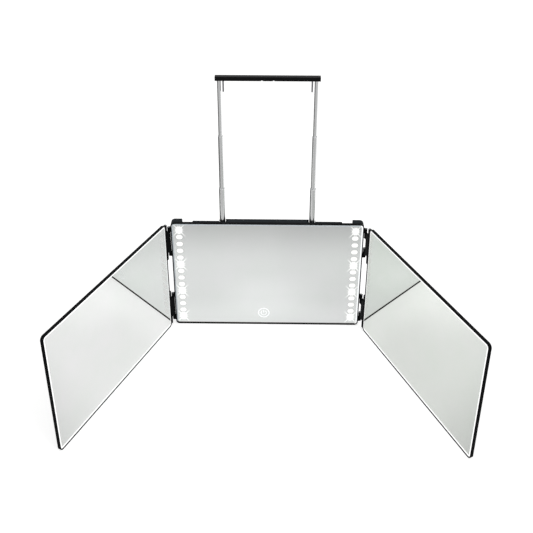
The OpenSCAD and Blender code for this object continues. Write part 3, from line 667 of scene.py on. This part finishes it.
FLOOR_HALF = 6.0
FLOOR_GAP = 0.2 * MM                 # between the object's base and the floor
FLOOR_PAINT = (0.72, 0.72, 0.715, 1)
FLOOR_LIFT = 0.60                    # light of its own that makes the floor white to the camera
FLOOR_MIRRORED_PAINT = (0.32, 0.32, 0.32, 1)
FLOOR_MIRRORED = (1.0, 1.0, 0.995, 1)
FLOOR_MIRRORED_LIGHT = 0.62
SOFT_LIGHT = 0.62                    # the world's strength on everything but the camera and reflections
SKY_MIRRORED = (0.90, 0.91, 0.92, 1)
MIDDLE_LIFT = 0.14                   # changes to the floor's light in reflections: before the centre mirror,
NEAR_LIFT = 0.10                     # close to its foot,
FAR_DROP = -0.53                     # further ahead,
RIGHT_DROP = -0.07                   # and on the right
DARK_SIDE = (4, 9, 118, 130)         # degrees from +Y towards -X where the floor is dark in reflections
DARK_FLOOR = (0.13, 0.13, 0.13, 1)
BAY_SIDE = 0.17                      # half the width of the mirrors' bay at the hinges
BAY_SPREAD = 0.42                    # how much wider it gets a metre further ahead, on each side


def mix_shaders(tree, share, first, second):
    """The first shader where share is 0 and the second where it is 1."""
    return node(tree, "ShaderNodeMixShader", {"Fac": share, 1: first, 2: second}).outputs[0]


def by_ray(tree, seen, mirrored, lighting):
    """One shader for what the camera sees, one for reflections and one for the light on the object."""
    path = node(tree, "ShaderNodeLightPath").outputs
    shown = math_node(tree, "MAXIMUM", path["Is Glossy Ray"], path["Is Transmission Ray"])
    return mix_shaders(tree, path["Is Camera Ray"], mix_shaders(tree, shown, lighting, mirrored), seen)


def floor_falloff(tree):
    """How much of the floor's light is left in reflections: less and less in front of the object."""
    at = separate(tree, place(tree))
    ahead = product(tree, at["Y"], -1.0)
    aside = math_node(tree, "ABSOLUTE", at["X"])
    middle = product(tree, smooth_step(tree, aside, 0.11, 0.02), smooth_step(tree, ahead, 0.17, 0.08))
    changes = (
        (product(tree, middle, smooth_step(tree, ahead, 0.0, 0.06)), MIDDLE_LIFT),
        (smooth_step(tree, ahead, 0.08, 0.02), NEAR_LIFT),
        (smooth_step(tree, ahead, 0.16, 0.36), FAR_DROP),
        (smooth_step(tree, at["X"], -0.01, 0.06), RIGHT_DROP),
    )
    left = 1.0
    for share, change in changes:
        left = math_node(tree, "ADD", left, product(tree, share, change))
    return left


def dark_side(tree):
    """1 on the floor behind and to the left of the object, outside the mirrors' bay, and 0 elsewhere.

    The rods reflect it as the dark left edge that the photograph shows."""
    at = separate(tree, place(tree))
    leftward = product(tree, at["X"], -1.0)
    turn = math_node(tree, "ARCTAN2", leftward, at["Y"])
    start, full, fading, end = (math.radians(angle) for angle in DARK_SIDE)
    fan = product(tree, smooth_step(tree, turn, start, full), smooth_step(tree, turn, end, fading))
    ahead = math_node(tree, "MAXIMUM", product(tree, at["Y"], -BAY_SPREAD), 0.0)
    beyond = difference(tree, leftward, math_node(tree, "ADD", ahead, BAY_SIDE))
    beside = smooth_step(tree, beyond, 0.0, 0.02)
    behind = smooth_step(tree, at["Y"], 0.02, 0.04)
    return product(tree, fan, math_node(tree, "MAXIMUM", beside, behind))


def make_floor():
    """A plain pale floor: white to the camera, graded grey in reflections, with the object's soft shadow."""
    shape = bmesh.new()
    bmesh.ops.create_grid(shape, x_segments=2, y_segments=2, size=FLOOR_HALF)
    mesh = bpy.data.meshes.new("floor")
    shape.to_mesh(mesh)
    shape.free()
    floor = bpy.data.objects.new("floor", mesh)
    floor.location = (0, 0, CAD_BOX[0][2] - FLOOR_GAP)
    bpy.context.collection.objects.link(floor)
    material = bpy.data.materials.new("floor")
    material.use_nodes = True
    tree = material.node_tree
    tree.nodes.clear()
    output = tree.nodes.new("ShaderNodeOutputMaterial")

    def diffuse(colour):
        return node(tree, "ShaderNodeBsdfDiffuse", {"Color": colour}).outputs[0]

    def glow(colour, strength):
        return node(tree, "ShaderNodeEmission", {"Color": colour, "Strength": strength}).outputs[0]

    def both(first, second):
        return node(tree, "ShaderNodeAddShader", {0: first, 1: second}).outputs[0]

    paint = diffuse(FLOOR_PAINT)
    seen = both(paint, glow((1, 1, 1, 1), FLOOR_LIFT))
    graded = glow(FLOOR_MIRRORED, product(tree, floor_falloff(tree), FLOOR_MIRRORED_LIGHT))
    mirrored = both(diffuse(FLOOR_MIRRORED_PAINT), graded)
    mirrored = mix_shaders(tree, dark_side(tree), mirrored, glow(DARK_FLOOR, 1.0))
    tree.links.new(by_ray(tree, seen, mirrored, paint), output.inputs["Surface"])
    mesh.materials.append(material)


def make_world():
    """White to the camera, pale grey to reflections, soft light to the rest."""
    world = bpy.data.worlds.new("studio")
    bpy.context.scene.world = world
    world.use_nodes = True
    tree = world.node_tree
    tree.nodes.clear()
    output = tree.nodes.new("ShaderNodeOutputWorld")
    seen, mirrored, soft = [
        node(tree, "ShaderNodeBackground", {"Color": colour, "Strength": strength}).outputs[0]
        for colour, strength in (((1, 1, 1, 1), 1.0), (SKY_MIRRORED, 1.0), ((1, 1, 1, 1), SOFT_LIGHT))
    ]
    tree.links.new(by_ray(tree, seen, mirrored, soft), output.inputs["Surface"])


def area_light(name, at, towards, size, power):
    """A soft square lamp."""
    data = bpy.data.lights.new(name, "AREA")
    data.shape = "SQUARE"
    data.size = size
    data.energy = power
    lamp = bpy.data.objects.new(name, data)
    lamp.location = at
    lamp.rotation_euler = (Vector(towards) - Vector(at)).to_track_quat("-Z", "Y").to_euler()
    bpy.context.collection.objects.link(lamp)


def make_studio():
    """Floor, world and two soft lamps at a plain level."""
    bpy.context.scene.view_settings.view_transform = "Standard"
    make_floor()
    make_world()
    area_light("key", at=(1.3, -1.1, 2.2), towards=(0, -0.05, 0.1), size=1.4, power=16)
    area_light("fill", at=(-1.6, -1.4, 1.7), towards=(0, -0.1, 0.1), size=1.6, power=7)


# ---------------------------------------------------------------- build

make_camera()
MATERIALS = make_materials()
dress_nodes(MATERIALS)
power_sign(MATERIALS)
tube_beads(MATERIALS)
socket_contacts(MATERIALS)
make_studio()
